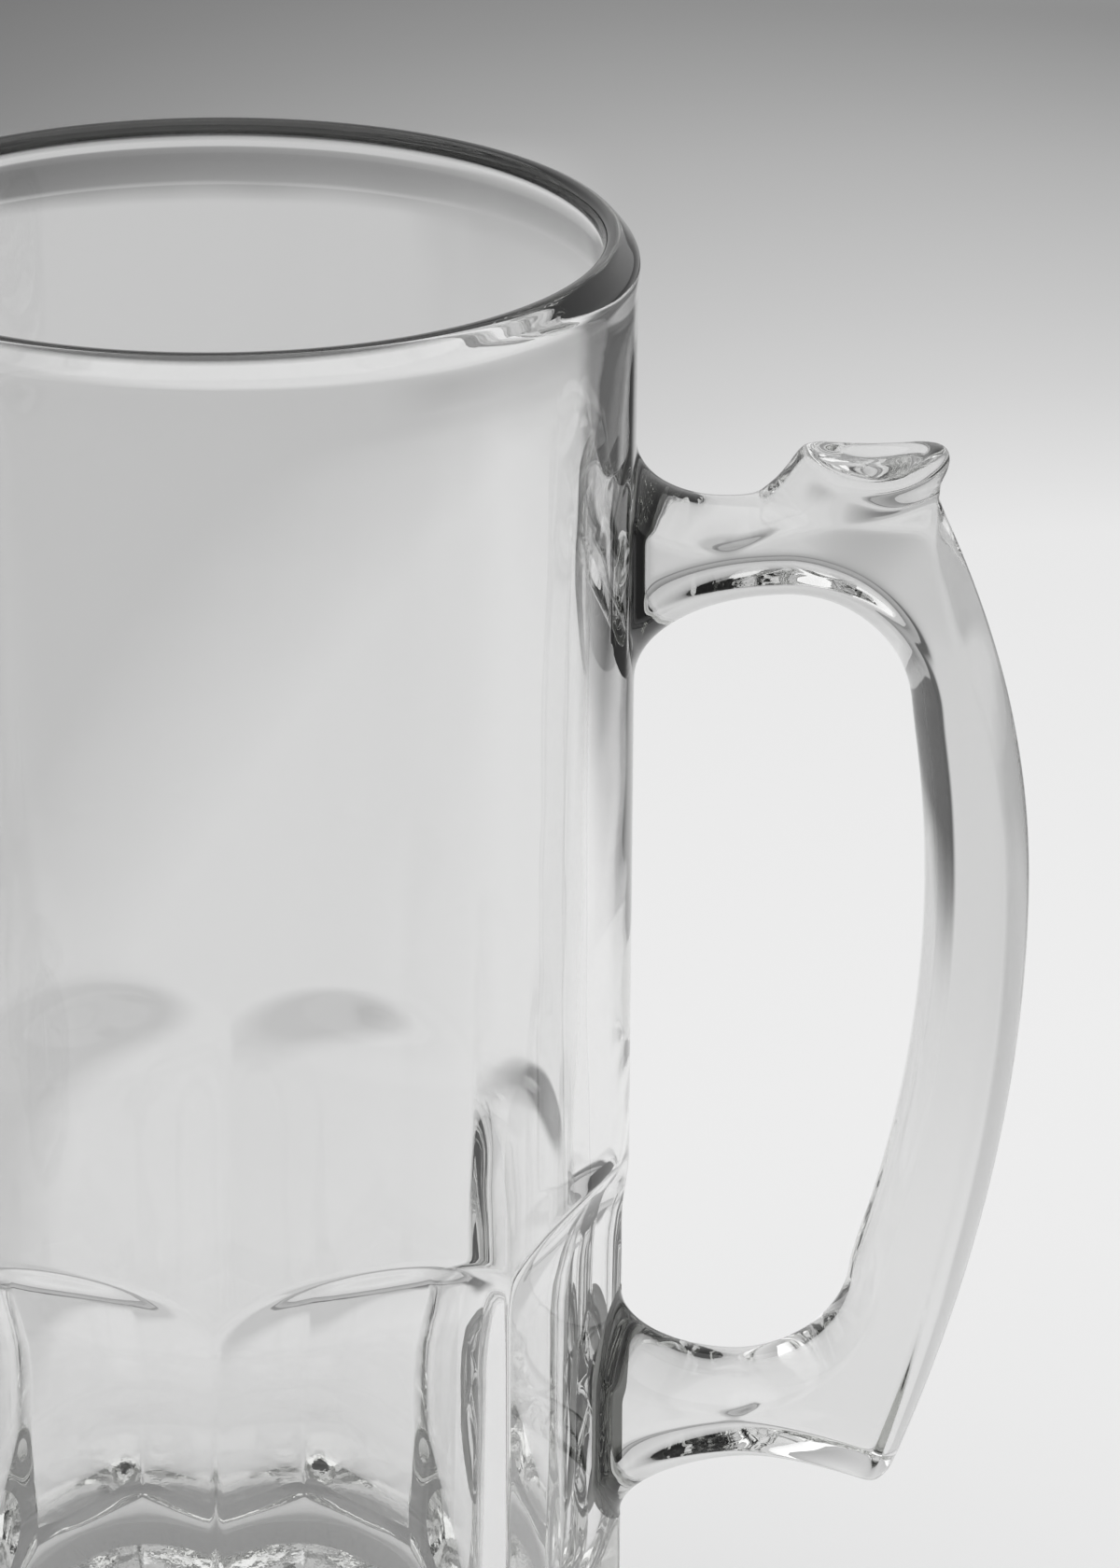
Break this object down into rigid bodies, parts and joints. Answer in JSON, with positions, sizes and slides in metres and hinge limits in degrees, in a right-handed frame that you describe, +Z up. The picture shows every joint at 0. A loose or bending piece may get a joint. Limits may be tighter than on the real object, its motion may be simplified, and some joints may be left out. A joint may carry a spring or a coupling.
{
  "type": "glass beer mug",
  "caption": "Tall clear glass beer mug: round wall, flat flutes round its lower half, thick floor, solid glass handle with a thumb rest.",
  "frame": {"origin": "middle of the flat ring under the mug, on the vessel's axis, in the plane that the mug rests on", "axes": "+Z up along the vessel's axis, +X from the axis out through the handle"},
  "size_m": [0.1471, 0.1, 0.203],
  "materials": {
    "clear_glass": "clear, fire-polished"
  },
  "bodies": {
    "root": {"vessel": "clear_glass", "handle": "clear_glass"}
  },
  "joints": []
}
